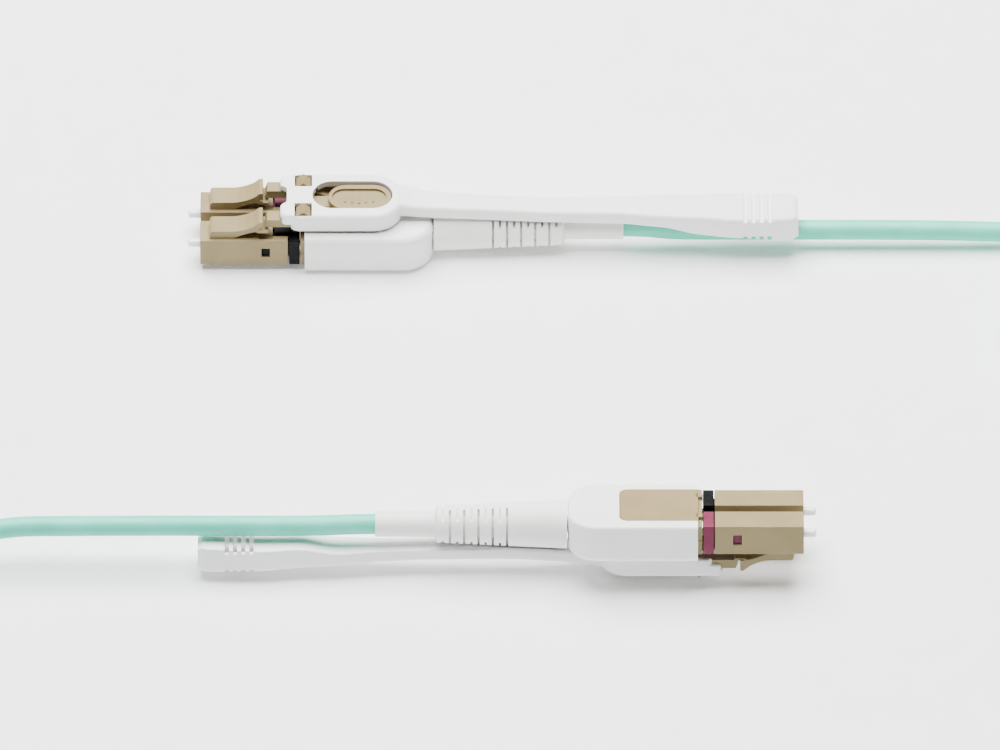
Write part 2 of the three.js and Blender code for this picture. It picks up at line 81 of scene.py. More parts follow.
BOOT_BORE, BOOT_BORE_REAR, SLEEVE_BORE = 2.65, 3.7, 1.5
SLOT_FIRST, SLOT_PITCH, SLOT_COUNT, SLOT_WIDTH = 1.0, 1.01, 10, 0.34
TAB_REAR, TAB_FRONT, TAB_HALF, TAB_BOTTOM, TAB_TOP = 14.0, 31.5, 4.8, 3.5, 6.42
PEG_REAR, PEG_FRONT, PEG_SHOULDER, PEG_TOP = 27.2, 29.2, 5.85, 6.75
WINDOW_REAR, WINDOW_FRONT = 26.95, 29.45
CABLE_DIAMETER = 2.9

# Power of the two area lights in watts, and strength of the sky and of the floor's glow
LIGHT_OVERHEAD, LIGHT_FRONT, LIGHT_SKY = 46.0, 0.2, 0.05
FLOOR_GLOW = 0.25

# Places of the connectors' frames
PLACE = {
    "a": Matrix.Translation((0, 0.0339, 0.0032)) @ Matrix.Rotation(math.pi, 4, "Z"),
    "b": Matrix.Translation((0, -0.03352, 0.00752)) @ Matrix.Rotation(math.pi - math.radians(13), 4, "X"),
}

# Camera: the view of the two connectors from above and in front, through a long lens
VIEW_WIDTH = 0.142857
VIEW_DEPTH = 100
VIEW_CENTRE = Vector((0, 0.00594, 0))
VIEW_ELEVATION = math.radians(42)
LENS, SENSOR = 1000, 36


def make_camera():
    distance = VIEW_WIDTH * LENS / SENSOR
    data = bpy.data.cameras.new("camera")
    data.lens = LENS
    data.sensor_width = SENSOR
    data.clip_end = VIEW_DEPTH
    camera = bpy.data.objects.new("camera", data)
    bpy.context.scene.collection.objects.link(camera)
    back = Vector((0, -math.cos(VIEW_ELEVATION), math.sin(VIEW_ELEVATION)))
    camera.location = VIEW_CENTRE + distance * back
    camera.rotation_euler = (math.pi / 2 - VIEW_ELEVATION, 0, 0)
    bpy.context.scene.camera = camera


# ---------------------------------------------------------------- materials

# Noise scales of the clouds of colour and of the patches of gloss, and height of the grain in metres
CLOUD_SCALE, PATCH_SCALE, GRAIN_HEIGHT = 180, 420, 0.00008
# Wave scale and height of the threads of the wrap
THREAD_SCALE, THREAD_HEIGHT = 900, 0.0002


def linear(code):
    """The linear colour of a hex code."""
    channels = [int(code[i:i + 2], 16) / 255 for i in (1, 3, 5)]
    return [c / 12.92 if c <= 0.04045 else ((c + 0.055) / 1.055) ** 2.4 for c in channels] + [1]


def noise(nodes, links, coordinates, scale, detail=3.0, roughness=0.5):
    node = nodes.new("ShaderNodeTexNoise")
    node.inputs["Scale"].default_value = scale
    node.inputs["Detail"].default_value = detail
    node.inputs["Roughness"].default_value = roughness
    links.new(coordinates, node.inputs["Vector"])
    return node.outputs["Fac"]


def ramp(nodes, links, value, low, high, start=0.35, end=0.65):
    node = nodes.new("ShaderNodeMapRange")
    node.inputs["From Min"].default_value = start
    node.inputs["From Max"].default_value = end
    node.inputs["To Min"].default_value = low
    node.inputs["To Max"].default_value = high
    links.new(value, node.inputs["Value"])
    return node.outputs["Result"]


def moulded(name, dark, light, rough=(0.36, 0.48), grain=2600, bump=0.06, coat=0.0, specular=0.5):
    """Moulded plastic: cloudy colour between two shades, a fine spark-eroded grain and uneven gloss."""
    material = bpy.data.materials.new(name)
    material.use_nodes = True
    nodes, links = material.node_tree.nodes, material.node_tree.links
    shader = nodes["Principled BSDF"]
    coordinates = nodes.new("ShaderNodeTexCoord").outputs["Object"]
    cloud = noise(nodes, links, coordinates, CLOUD_SCALE, 4)
    mix = nodes.new("ShaderNodeMix")
    mix.data_type = "RGBA"
    mix.inputs["A"].default_value = linear(dark)
    mix.inputs["B"].default_value = linear(light)
    links.new(ramp(nodes, links, cloud, 0, 1), mix.inputs["Factor"])
    links.new(mix.outputs["Result"], shader.inputs["Base Color"])
    patches = noise(nodes, links, coordinates, PATCH_SCALE, 3)
    links.new(ramp(nodes, links, patches, *rough), shader.inputs["Roughness"])
    bump_node = nodes.new("ShaderNodeBump")
    bump_node.inputs["Strength"].default_value = bump
    bump_node.inputs["Distance"].default_value = GRAIN_HEIGHT
    links.new(noise(nodes, links, coordinates, grain, 2, 0.6), bump_node.inputs["Height"])
    links.new(bump_node.outputs["Normal"], shader.inputs["Normal"])
    shader.inputs["Specular IOR Level"].default_value = specular
    shader.inputs["Coat Weight"].default_value = coat
    shader.inputs["Coat Roughness"].default_value = 0.25
    return material


def metal(name, dark, light):
    """Steel: a fine grain, uneven gloss and slight stains."""
    material = moulded(name, dark, light, (0.22, 0.36), 5200, 0.1)
    material.node_tree.nodes["Principled BSDF"].inputs["Metallic"].default_value = 1
    return material


def woven(name, dark, light):
    """Woven hook-and-loop wrap: matt cloth with raised threads."""
    material = moulded(name, dark, light, (0.75, 0.95), 900, 0.3)
    nodes, links = material.node_tree.nodes, material.node_tree.links
    shader = nodes["Principled BSDF"]
    wave = nodes.new("ShaderNodeTexWave")
    wave.inputs["Scale"].default_value = THREAD_SCALE
    wave.inputs["Distortion"].default_value = 1.5
    links.new(nodes["Texture Coordinate"].outputs["Object"], wave.inputs["Vector"])
    bump_node = nodes.new("ShaderNodeBump")
    bump_node.inputs["Strength"].default_value = 0.4
    bump_node.inputs["Distance"].default_value = THREAD_HEIGHT
    links.new(wave.outputs["Fac"], bump_node.inputs["Height"])
    links.new(nodes["Bump"].outputs["Normal"], bump_node.inputs["Normal"])
    links.new(bump_node.outputs["Normal"], shader.inputs["Normal"])
    return material


MATERIALS = {
    "white_plastic": moulded("white_plastic", "#efeeed", "#f3f3f1", (0.36, 0.48)),
    "white_boot": moulded("white_boot", "#eeedea", "#f2f2ef", (0.45, 0.6), 1900, 0.08),
    "beige_plastic": moulded("beige_plastic", "#877753", "#8f7f5b", (0.42, 0.54), specular=0.25),
    "black_plastic": moulded("black_plastic", "#050606", "#090a0b", (0.5, 0.62), specular=0.1),
    "magenta_plastic": moulded("magenta_plastic", "#641c38", "#6e2340", (0.44, 0.56), specular=0.25),
    "ceramic": moulded("ceramic", "#f0f0f2", "#f6f6f7", (0.12, 0.2), 6000, 0.02, coat=0.4),
    "steel": metal("steel", "#a3a6aa", "#c9ccd0"),
    "fibre_buffer": moulded("fibre_buffer", "#e9e8e2", "#f2f1ec", (0.4, 0.5)),
    "aqua_jacket": moulded("aqua_jacket", "#48c6aa", "#55d0b5", (0.42, 0.55), 1500, 0.1),
    "tie_fabric": woven("tie_fabric", "#1c1d20", "#303236"),
}


# ---------------------------------------------------------------- mesh tools

def rounded(corners, steps=6):
    """An outline through (u, v) or (u, v, radius) corners, each with a radius turned into an arc."""
    outline = []
    count = len(corners)
    for i, corner in enumerate(corners):
        here = Vector(corner[:2])
        radius = corner[2] if len(corner) > 2 else 0
        if radius <= 0:
            outline.append(here)
            continue
        before = (Vector(corners[i - 1][:2]) - here).normalized()
        after = (Vector(corners[(i + 1) % count][:2]) - here).normalized()
        half = before.angle(after) / 2
        reach = radius / math.tan(half)
        centre = here + (before + after).normalized() * (radius / math.sin(half))
        start = here + before * reach - centre
        sweep = start.angle_signed(here + after * reach - centre)
        for k in range(steps + 1):
            turned_by = Matrix.Rotation(-sweep * k / steps, 2)
            outline.append(centre + turned_by @ start)
    return [tuple(p) for p in outline]


def new_object(name, mesh):
    piece = bpy.data.objects.new(name, mesh)
    bpy.context.scene.collection.objects.link(piece)
    return piece


def smooth(mesh):
    for polygon in mesh.polygons:
        polygon.use_smooth = True


def from_bmesh(name, bm):
    bmesh.ops.recalc_face_normals(bm, faces=bm.faces)
    mesh = bpy.data.meshes.new(name)
    bm.to_mesh(mesh)
    bm.free()
    smooth(mesh)
    return new_object(name, mesh)


def prism(outline, axis, low, high, name="tool"):
    """The outline drawn out along an axis: (y, z) along x, (x, z) along y or (x, y) along z."""
    place = {
        "x": lambda u, v, w: (w, u, v),
        "y": lambda u, v, w: (u, w, v),
        "z": lambda u, v, w: (u, v, w),
    }[axis]
    bm = bmesh.new()
    rings = [[bm.verts.new(place(u, v, w)) for u, v in outline] for w in (low, high)]
    bm.faces.new(rings[0])
    bm.faces.new(rings[1])
    for i in range(len(outline)):
        j = (i + 1) % len(outline)
        bm.faces.new((rings[0][i], rings[0][j], rings[1][j], rings[1][i]))
    return from_bmesh(name, bm)


def block(x0, x1, y0, y1, z0, z1):
    return prism([(x0, y0), (x1, y0), (x1, y1), (x0, y1)], "z", z0, z1)


def close_tube(bm, rings):
    """The sides between rings of points that follow each other, and both ends."""
    for a, b in zip(rings, rings[1:]):
        for i in range(len(a)):
            j = (i + 1) % len(a)
            bm.faces.new((a[i], a[j], b[j], b[i]))
    bm.faces.new(rings[0])
    bm.faces.new(rings[-1][::-1])


def lathe(profile, y, z, segments):
    """A profile of (x, radius) points turned round an axis along x. It starts and ends at radius 0, on the
    axis, or else it is closed from its last point to its first."""
    bm = bmesh.new()
    rings = []
    for x, radius in profile:
        if radius == 0:
            rings.append([bm.verts.new((x, y, z))])
            continue
        ring = []
        for k in range(segments):
            angle = 2 * math.pi * k / segments
            ring.append(bm.verts.new((x, y + radius * math.cos(angle), z + radius * math.sin(angle))))
        rings.append(ring)
    closed = profile[0][1] > 0
    for i in range(len(rings) if closed else len(rings) - 1):
        a, b = rings[i], rings[(i + 1) % len(rings)]
        for k in range(segments):
            n = (k + 1) % segments
            corners = [a[k % len(a)], a[n % len(a)], b[n % len(b)], b[k % len(b)]]
            unique = list(dict.fromkeys(corners))
            if len(unique) > 2:
                bm.faces.new(unique)
    return from_bmesh("tool", bm)


def rod(x0, x1, radius, y=0.0, z=0.0):
    return lathe([(x0, 0), (x0, radius), (x1, radius), (x1, 0)], y, z, 48)


def cross_rod(y0, y1, radius, x, z, segments=32):
    """A rod that lies across the connector."""
    angles = [2 * math.pi * k / segments for k in range(segments)]
    return prism([(x + radius * math.cos(a), z + radius * math.sin(a)) for a in angles], "y", y0, y1)


def apply_modifiers(piece):
    mesh = bpy.data.meshes.new_from_object(piece.evaluated_get(bpy.context.evaluated_depsgraph_get()))
    old = piece.data
    piece.modifiers.clear()
    piece.data = mesh
    bpy.data.meshes.remove(old)


def discard(tool):
    mesh = tool.data
    bpy.data.objects.remove(tool)
    bpy.data.meshes.remove(mesh)


def combine(piece, operation, tools):
    for tool in tools:
        modifier = piece.modifiers.new("combine", "BOOLEAN")
        modifier.operation = operation
        modifier.object = tool
        modifier.solver = "EXACT"
        apply_modifiers(piece)
        discard(tool)
    return piece


def cluster(*tools):
    """Tools that don't touch each other, as one mesh, so that one boolean cuts them all."""
    bm = bmesh.new()
    for tool in tools:
        bm.from_mesh(tool.data)
        discard(tool)
    return from_bmesh("tools", bm)


def cut(piece, *tools):
    return combine(piece, "DIFFERENCE", tools)


def join(piece, *tools):
    return combine(piece, "UNION", tools)


def tidy(piece):
    """Merges doubled points and dissolves needless edges inside flat faces. The normals that an earlier
    softening stored no longer fit after a cut, so they are dropped."""
    stale = piece.data.attributes.get("custom_normal")
    if stale:
        piece.data.attributes.remove(stale)
    bm = bmesh.new()
    bm.from_mesh(piece.data)
    bmesh.ops.remove_doubles(bm, verts=bm.verts, dist=0.002)
    bmesh.ops.dissolve_limit(bm, angle_limit=math.radians(0.5), verts=bm.verts, edges=bm.edges)
    bm.to_mesh(piece.data)
    bm.free()


def soften(piece, width, segments=2, angle=40):
    """Rounds every edge sharper than the angle."""
    tidy(piece)
    smooth(piece.data)
    modifier = piece.modifiers.new("soften", "BEVEL")
    modifier.limit_method = "ANGLE"
    modifier.angle_limit = math.radians(angle)
    modifier.width = width
    modifier.segments = segments
    modifier.miter_outer = "MITER_ARC"
    modifier.harden_normals = True
    apply_modifiers(piece)


def round_rim(piece, height, width, segments):
    """Rounds the edges that run round the piece at one height."""
    bm = bmesh.new()
    bm.from_mesh(piece.data)
    rim = [e for e in bm.edges if all(abs(v.co.z - height) < 1e-4 for v in e.verts)]
    bmesh.ops.bevel(bm, geom=rim, offset=width, segments=segments, profile=0.5, affect="EDGES")
    bm.to_mesh(piece.data)
    bm.free()
    smooth(piece.data)


def settle(piece, node, side, slot, body="root", ride=True):
    """Places a finished piece made in a connector's frame and lets it stand for its CAD node."""
    piece.name = f"fine_{node}_{side}"
    piece.data.name = piece.name
    piece.data.transform(PLACE[side] @ Matrix.Scale(MM, 4))
    piece.data.materials.clear()
    piece.data.materials.append(MATERIALS[slot])
    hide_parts(f"{node}_{side}")
    if ride:
        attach(piece, body)


# ---------------------------------------------------------------- cord

def smooth_route(points, per_span=4):
    """A centripetal Catmull-Rom curve through the points."""
    points = [Vector(p) for p in points]
    extended = [2 * points[0] - points[1]] + points + [2 * points[-1] - points[-2]]
    route = []
    for i in range(1, len(extended) - 2):
        p0, p1, p2, p3 = extended[i - 1:i + 3]
        t0 = 0.0
        t1 = t0 + math.sqrt((p1 - p0).length)
        t2 = t1 + math.sqrt((p2 - p1).length)
        t3 = t2 + math.sqrt((p3 - p2).length)
        for k in range(per_span):
            t = t1 + (t2 - t1) * k / per_span
            a1 = p0.lerp(p1, (t - t0) / (t1 - t0))
            a2 = p1.lerp(p2, (t - t1) / (t2 - t1))
            a3 = p2.lerp(p3, (t - t2) / (t3 - t2))
            b1 = a1.lerp(a2, (t - t0) / (t2 - t0))
            b2 = a2.lerp(a3, (t - t1) / (t3 - t1))
            route.append(b1.lerp(b2, (t - t1) / (t2 - t1)))
    route.append(points[-1])
    return route


# Length and diameter in metres
CORD_DIAMETER = CABLE_DIAMETER * MM
# Places in millimetres: the line out of boot A, the coil, where the cable leaves it, and the front run
ROW_A_Y = 33.9
COIL_X, COIL_Y, COIL_RADIUS, COIL_BOTTOM = 93.4, 14.7, 16.3, 0.62
COIL_TURNS = 5.25
EXIT_X = COIL_X + COIL_RADIUS + CABLE_DIAMETER
FRONT_Y = -79.2
FLOOR_Z = CABLE_DIAMETER / 2 + 0.03
# Where the wrap stands round the coil, in degrees
TIE_ANGLE = 220
# From boot A to the coil
ROUTE_A = [
    (17.2, ROW_A_Y, 3.5), (18.0, ROW_A_Y, 3.5), (21, ROW_A_Y, 3.4), (25, ROW_A_Y, 2.98),
    (30, ROW_A_Y, 2.9), (42, ROW_A_Y, 2.9), (54, ROW_A_Y, 2.87), (66, ROW_A_Y, 2.7),
    (74, ROW_A_Y, 2.4), (COIL_X - 11.2, ROW_A_Y, 2.1),
]
# From the coil round the front to boot B
ROUTE_B = [
    (EXIT_X, COIL_Y - 11.2, 4.9), (EXIT_X, -10, 4.1), (EXIT_X, -24, 2.6), (EXIT_X, -38, 1.7),
    (EXIT_X, -52, FLOOR_Z), (EXIT_X - 1.6, -65, FLOOR_Z), (EXIT_X - 8, -74.4, FLOOR_Z),
    (EXIT_X - 19, -78.7, FLOOR_Z), (EXIT_X - 34, FRONT_Y, FLOOR_Z), (60, FRONT_Y, FLOOR_Z),
    (40, FRONT_Y, FLOOR_Z), (20, FRONT_Y, FLOOR_Z), (0, FRONT_Y, FLOOR_Z), (-20, FRONT_Y, FLOOR_Z),
    (-40, FRONT_Y, FLOOR_Z), (-57, FRONT_Y, FLOOR_Z), (-69.4, FRONT_Y, FLOOR_Z),
    (-75.1, -78.1, FLOOR_Z), (-80, -74.8, 1.5), (-83.3, -69.9, 1.6), (-84.4, -64.2, 1.9),
    (-84.4, -56.5, 2.7), (-84.4, -48.7, 3.8), (-83.3, -43, 4.6), (-80, -38.1, 5.3),
    (-75.1, -34.9, 6.1), (-69.4, -33.7, 6.6), (-60, -33.67, 6.88), (-50, -33.67, 6.94),
    (-38, -33.67, 6.94), (-30, -33.67, 6.94), (-25, -33.65, 7.01), (-21, -33.6, 7.16),
    (-18.0, -33.59, 7.22), (-17.2, -33.59, 7.22),
]
# The places of the turns across the coil, as (column, layer), in the order in which they are wound
COIL_PLACES = [(1, 0), (0, 0), (-1, 0), (-1, 1), (0, 1), (1, 1)]
# Degrees round the coil: to the first move to the next place, from one move to the next, and over a move
SHIFT_START, SHIFT_STEP, SHIFT_WIDTH = 295, 295, 65


def coil_route(steps_per_turn=72):
    """The turns, clockwise from the far side. Each moves over before the next one meets it."""
    route = []
    total = round(COIL_TURNS * steps_per_turn)
    for step in range(total + 1):
        turned_by = 360 * step / steps_per_turn
        column, layer = COIL_PLACES[0]
        for k, (next_column, next_layer) in enumerate(COIL_PLACES[1:]):
            share = (turned_by - SHIFT_START - SHIFT_STEP * k) / SHIFT_WIDTH
            share = min(max(share, 0), 1)
            share = (1 - math.cos(math.pi * share)) / 2
            column += (next_column - column) * share
            layer += (next_layer - layer) * share
        radius = COIL_RADIUS + column * CABLE_DIAMETER
        angle = math.radians(90 - turned_by)
        height = COIL_BOTTOM + CABLE_DIAMETER * (layer + 0.5)
        route.append((COIL_X + radius * math.cos(angle), COIL_Y + radius * math.sin(angle), height))
    return route


def make_cord(tie):
    route = smooth_route(ROUTE_A + coil_route() + ROUTE_B)
    curve = bpy.data.curves.new("aqua_cable", "CURVE")
    curve.dimensions = "3D"
    spline = curve.splines.new("POLY")
    spline.points.add(len(route) - 1)
    for point, place in zip(spline.points, route):
        point.co = (*(place * MM), 1)
    curve.bevel_depth = CORD_DIAMETER / 2
    curve.bevel_resolution = 7
    curve.use_fill_caps = True
    spline.use_smooth = True
    curve.materials.append(MATERIALS["aqua_jacket"])
    cable = new_object("aqua_cable", curve)
    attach(cable, "root")
    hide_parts("cord_tube_a", "cord_coil", "cord_tube_b")


# ---------------------------------------------------------------- housing pieces

def rear_rounded(rear, front, half, corner, steps=12):
    """A plan outline whose two rear corners are round."""
    return rounded([(front, -half), (front, half), (rear, half, corner), (rear, -half, corner)], steps)


def stadium(rear, front, half, steps=16):
    """A plan outline whose two shorter ends are round."""
    edge = min(half, (front - rear) / 2) - 0.001
    return rounded([
        (rear, -half, edge), (front, -half, edge), (front, half, edge), (rear, half, edge),
    ], steps)


def square(y):
    """The section (y, z) of a housing round a channel's centre."""
    half, corner = HOUSING_HALF, HOUSING_CORNER
    return rounded([(y - half, -half, corner), (y + half, -half, corner),
                    (y + half, half, corner), (y - half, half, corner)], 4)


def make_shell(side):
    past_front = SHELL_FRONT + 3
    outline = rear_rounded(SHELL_REAR, SHELL_FRONT + 2.5, SHELL_HALF, SHELL_CORNER)
    hollow = rear_rounded(SHELL_REAR + 1.7, past_front, SHELL_HALF - 0.7, SHELL_CORNER - 0.9)
    panel = rear_rounded(PANEL_REAR, past_front, PANEL_HALF, PANEL_CORNER)
    shell = prism(outline, "z", SHELL_BOTTOM, SHELL_TOP)
    round_rim(shell, SHELL_TOP, SHELL_EDGE_TOP, 7)
    round_rim(shell, SHELL_BOTTOM, SHELL_EDGE_BOTTOM, 5)
    shell = cut(
        shell,
        block(SHELL_FRONT, SHELL_FRONT + 5, -10, 10, -10, 10),
        prism(hollow, "z", SHELL_BOTTOM + 0.55, SHELL_TOP - 0.65),
        prism(panel, "z", SHELL_BOTTOM - 1.25, SHELL_BOTTOM + 0.75),
        prism(panel, "z", SHELL_TOP - 0.8, SHELL_TOP + 0.8),
        rod(SHELL_REAR - 1, SHELL_REAR + 3, 1.8, 0, BOOT_AXIS),
    )
    soften(shell, 0.14)
    settle(shell, "shell", side, "white_plastic")


def pivot_post():
    """The post that holds the trigger's pin."""
    rear, front, base, top = PIVOT_X - 0.9, PIVOT_X + 0.9, BODY_TOP - 0.15, PIVOT_Z + 0.85
    outline = rounded([(rear, base), (front, base), (front, top, 0.6), (rear, top, 0.6)])
    return prism(outline, "y", -1.6, 1.6)


def lower_panel_and_hooks():
    """The panel that fills the window under the shell, and two hooks in front of it."""
    panel = rear_rounded(PANEL_REAR + 0.1, SHELL_FRONT + 0.05, PANEL_HALF - 0.1, PANEL_CORNER - 0.1)
    rear, front = SHELL_FRONT - 0.3, SHELL_FRONT + 0.7
    hook = rounded([(rear, SHELL_BOTTOM), (front, SHELL_BOTTOM, 0.25), (front, BODY_BOTTOM, 0.25),
                    (rear, BODY_BOTTOM)])
    return [prism(panel, "z", SHELL_BOTTOM, BODY_BOTTOM + 0.1),
            *[prism(hook, "y", y - 0.5, y + 0.5) for y in (-2.9, 2.9)]]


def make_body(side):
    outline = rear_rounded(11.6, SHELL_FRONT + 0.05, BODY_HALF, 3.3)
    for name, low, high, collar_low, details in (
        ("body_top", BODY_SPLIT, BODY_TOP, BODY_SPLIT, [pivot_post()]),
        ("body_bottom", BODY_BOTTOM, -BODY_SPLIT, COLLAR_BOTTOM, lower_panel_and_hooks()),
    ):
        collar = block(SHELL_FRONT, COLLAR_FRONT, -BODY_HALF, BODY_HALF, collar_low, high)
        body = join(prism(outline, "z", low, high), collar, *details)
        body = cut(
            body,
            block(12.4, 27.2, -4.6, 4.6, -1.4, 1.9),
            rod(10.6, 13, 1.55, 0, BOOT_AXIS),
            cluster(*[rod(27, 29, 0.75, y) for y in CHANNELS.values()]),
            cross_rod(-3, 3, 0.55, PIVOT_X, PIVOT_Z),
        )
        soften(body, 0.12, angle=35)
        settle(body, name, side, "beige_plastic")


def make_boot(side):
    """A tapered boot whose slots alternate between the sides and the top and bottom."""
    slope = (BOOT_FRONT_RADIUS - BOOT_REAR_RADIUS) / (BOOT_FRONT - BOOT_REAR)
    boot = lathe([
        (SLEEVE_REAR, SLEEVE_BORE), (SLEEVE_REAR, SLEEVE_RADIUS - 0.12),
        (SLEEVE_REAR + 0.12, SLEEVE_RADIUS),
        (BOOT_REAR - 0.5, SLEEVE_RADIUS + 0.02), (BOOT_REAR - 0.2, SLEEVE_RADIUS + 0.15),
        (BOOT_REAR - 0.05, BOOT_REAR_RADIUS - 0.15), (BOOT_REAR + 0.1, BOOT_REAR_RADIUS),
        (BOOT_REAR + 0.6, BOOT_REAR_RADIUS + 0.6 * slope), (BOOT_FRONT, BOOT_FRONT_RADIUS),
        (BOOT_FRONT, BOOT_BORE), (BOOT_BORE_REAR, BOOT_BORE), (BOOT_BORE_REAR, SLEEVE_BORE),
    ], 0, BOOT_AXIS, 72)
    reach, spine, slots = 5, 0.75, []
    for index in range(SLOT_COUNT):
        x = SLOT_FIRST - index * SLOT_PITCH
        ends = (x - SLOT_WIDTH / 2, x + SLOT_WIDTH / 2)
        if index % 2 == 0:
            slots += [block(*ends, spine, reach, -reach, reach),
                      block(*ends, -reach, -spine, -reach, reach)]
        else:
            slots += [block(*ends, -reach, reach, 1.9, 6), block(*ends, -reach, reach, -6, -1.3)]
    core = rod(-12, 6, 1.95, 0, BOOT_AXIS)
    boot = cut(boot, cut(cluster(*slots), core))
    soften(boot, 0.07)
    settle(boot, "boot", side, "white_boot")


# ---------------------------------------------------------------- channel pieces

def make_housing(side, hand, y):
    housing = prism(square(y), "x", HOUSING_REAR, HOUSING_FRONT)
    soften(housing, 0.1, angle=50)
    housing = cut(
        housing,
        block(HOUSING_REAR - 1, 39.5, y - 1.65, y + 1.65, -1.65, 1.65),
        rod(38.5, HOUSING_FRONT + 1, 0.95, y),
        block(33.0, 34.2, y - 3, y + 3, -0.8, 0.8),
        block(HOUSING_REAR - 1, 32.6, y - 1.1, y + 1.1, 1, 3),
        block(32.6, 34.6, y - 1.75, y + 1.75, 1.9, 3),
    )
    soften(housing, 0.05)
    settle(housing, f"lc_housing_{hand}", side, "beige_plastic")


# Side outline (x, z) of the block and arm of a latch, with the radius of each round corner
LATCH_OUTLINE = [
    (41.6, 2.24), (41.6, 3.55, 0.5), (38.3, 3.57), (37.5, 3.66, 2.0), (36.4, 3.96, 2.0),
    (35.3, 4.5, 2.0), (34.8, 4.95, 1.0), (34.5, 5.25, 0.12), (34.0, 5.25, 0.1), (34.0, 3.55, 0.08),
    (33.2, 3.55, 0.1), (33.2, 3.25, 0.1), (34.6, 3.25, 0.2), (35.1, 3.5, 0.3), (36.1, 3.22, 1.0),
    (37.2, 2.8, 1.0), (38.3, 2.24),
]


def make_latch(side, hand, y):
    """A latch: its fixed block and an arm that bends up and back where it leaves the block, with an ear on
    each side near the arm's end.
    """
    latch = prism(rounded(LATCH_OUTLINE, 5), "y", y - LATCH_HALF, y + LATCH_HALF)
    ear = rounded([(33.98, 3.5), (33.98, 4.05, 0.15), (34.5, 4.05, 0.15), (34.5, 3.5)])
    ears = [prism(ear, "y", low, high)
            for low, high in ((y - LATCH_HALF - 0.22, y - LATCH_HALF + 0.1),
                              (y + LATCH_HALF - 0.1, y + LATCH_HALF + 0.22))]
    latch = join(latch, *ears)
    soften(latch, 0.09, angle=35)
    settle(latch, f"latch_{hand}", side, "beige_plastic", ride=False)
    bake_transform(latch)


def make_core(side, hand, y):
    """The coloured collar behind a housing, with its plug, its key and the nubs in the side windows."""
    core = prism(square(y), "x", 28.75, 30.25)
    soften(core, 0.08, angle=50)
    core = join(
        core,
        block(30.1, 35.6, y - 1.35, y + 1.35, -1.35, 1.35),
        block(30.1, 32.35, y - 0.85, y + 0.85, 1, 2.2),
        block(33.1, 34.1, y - 1.92, y + 1.92, -0.7, 0.7),
    )
    core = cut(core, rod(31.8, 37, 1.0, y), rod(27, 32, 0.65, y))
    soften(core, 0.05)
    is_black = (side == "a") == (hand == "left")
    settle(core, f"core_{hand}", side, "black_plastic" if is_black else "magenta_plastic")


def make_ferrule(side, hand, y):
    """A ground ceramic rod with a chamfer and a domed, polished tip."""
    rear, tip, radius, dome_radius, dome_height, steps = 39.0, 44.8, 0.625, 0.4, 0.03, 4
    profile = [(rear, 0), (rear, radius), (tip - 0.33, radius), (tip - 0.25, radius - 0.03)]
    profile += [(tip - dome_height * (k / steps) ** 2, dome_radius * k / steps)
                for k in range(steps, -1, -1)]
    ferrule = lathe(profile, y, 0, 48)
    settle(ferrule, f"ferrule_{hand}", side, "ceramic", f"ferrule_{hand}_{side}")


def make_spring(side, hand, y):
    """A coiled spring between the insert and the flange."""
    rear, front, radius, wire, turns, steps_per_turn, ring_sides = 32.0, 37.2, 0.66, 0.12, 7, 24, 8
    steps = turns * steps_per_turn
    round_wire = [2 * math.pi * i / ring_sides for i in range(ring_sides)]
    bm = bmesh.new()
    rings = []
    for k in range(steps + 1):
        angle = 2 * math.pi * turns * k / steps
        out = Vector((0, math.cos(angle), math.sin(angle)))
        middle = Vector((rear + wire + (front - rear - 2 * wire) * k / steps, y, 0)) + out * radius
        rings.append([bm.verts.new(middle + wire * (math.cos(a) * out + Vector((math.sin(a), 0, 0))))
                      for a in round_wire])
    close_tube(bm, rings)
    spring = from_bmesh("spring", bm)
    settle(spring, f"spring_{hand}", side, "steel")
    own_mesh(spring)


# ---------------------------------------------------------------- trigger and pull tab

# Side outline (x, z) of an arm of the trigger, with the radius of each corner
TRIGGER_OUTLINE = [
    (33.7, 3.85, 0.15), (33.7, 4.2, 0.1), (33.4, 5.18, 0.1), (27.0, 5.18, 0.8), (24.5, 4.1, 0.8),
    (17.6, 4.1, 0.5), (17.6, 3.1, 0.5), (25.0, 3.1, 1.5), (28.0, 3.85, 1.5),
]


def make_trigger(side):
    """An arm, a peg and a boss for each channel, joined by a pad with ribs across it."""
    arm_half, ridge = 1.0, (PEG_REAR + PEG_FRONT) / 2
    peg_outline = [(PEG_REAR, 4.9), (PEG_FRONT, 4.9), (PEG_FRONT, PEG_SHOULDER), (ridge, PEG_TOP),
                   (PEG_REAR, PEG_SHOULDER)]
    arms = []
    for y in CHANNELS.values():
        arm = prism(rounded(TRIGGER_OUTLINE, 5), "y", y - arm_half, y + arm_half)
        peg = prism(peg_outline, "y", y - 1.05, y + 1.05)
        arms.append(join(arm, peg, cross_rod(y - arm_half, y + arm_half, 1.0, PIVOT_X, PIVOT_Z)))
        inner, outer = sorted((math.copysign(2.1, y), math.copysign(2.6, y)))
        arms.append(block(19.4, 24.0, inner, outer, 4.0, 5.0))
    pad = prism(stadium(15.6, 24.6, 2.6), "z", 4.9, 6.0)
    soften(pad, 0.22, segments=3, angle=50)
    pad = cut(pad, prism(stadium(16.3, 24.1, 1.75), "z", 5.65, 7))
    ribs = []
    for k in range(5):
        x = 18.2 + 1.0 * k
        ribs.append(prism(stadium(x - 0.13, x + 0.13, 1.15 - 0.16 * abs(k - 2), 6), "z", 5.55, 5.8))
    neck = block(24.0, 27.2, -1.13, 1.13, 4.5, 5.15)
    bridge = block(26.6, 28.2, -PITCH / 2, PITCH / 2, 4.0, 5.1)
    trigger = join(pad, *arms, neck, bridge, *ribs)
    trigger = cut(trigger, cross_rod(-5, 5, 0.45, PIVOT_X, PIVOT_Z))
    soften(trigger, 0.07, angle=35)
    settle(trigger, "trigger", side, "beige_plastic", f"trigger_{side}")


